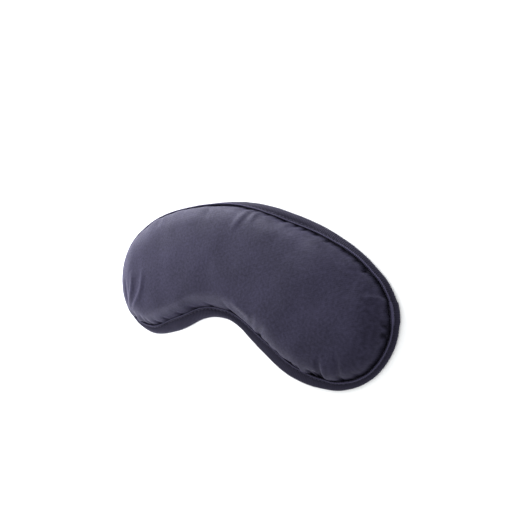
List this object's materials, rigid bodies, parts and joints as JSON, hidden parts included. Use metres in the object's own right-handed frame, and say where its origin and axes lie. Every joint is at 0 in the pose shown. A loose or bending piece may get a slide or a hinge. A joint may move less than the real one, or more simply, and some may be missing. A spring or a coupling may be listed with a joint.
{
  "type": "sleep mask",
  "caption": "Padded satin sleep mask with a ribbed bound edge and a nose notch, lying face up over its folded elastic head strap",
  "frame": {"origin": "middle of the mask's outline, on the surface that its underside lies on", "axes": "+X across the face towards one temple, +Y towards the forehead, +Z out of the front panel"},
  "size_m": [0.2098, 0.0906, 0.0145],
  "materials": {
    "satin": "plum-grey satin weave with a soft sheen",
    "wadding": "white polyester wadding",
    "blackout_cloth": "black matte blackout cloth",
    "lining": "plain-weave lining, matte",
    "binding_tape": "ribbed grosgrain tape",
    "thread": "polyester sewing thread",
    "elastic": "woven elastic band"
  },
  "bodies": {
    "root": {"front_panel": "satin", "padding": "wadding", "blackout_interlining": "blackout_cloth", "back_panel": "lining", "edge_binding": "binding_tape", "needle_thread": "thread", "bobbin_thread": "thread", "head_strap": "elastic"}
  },
  "joints": []
}
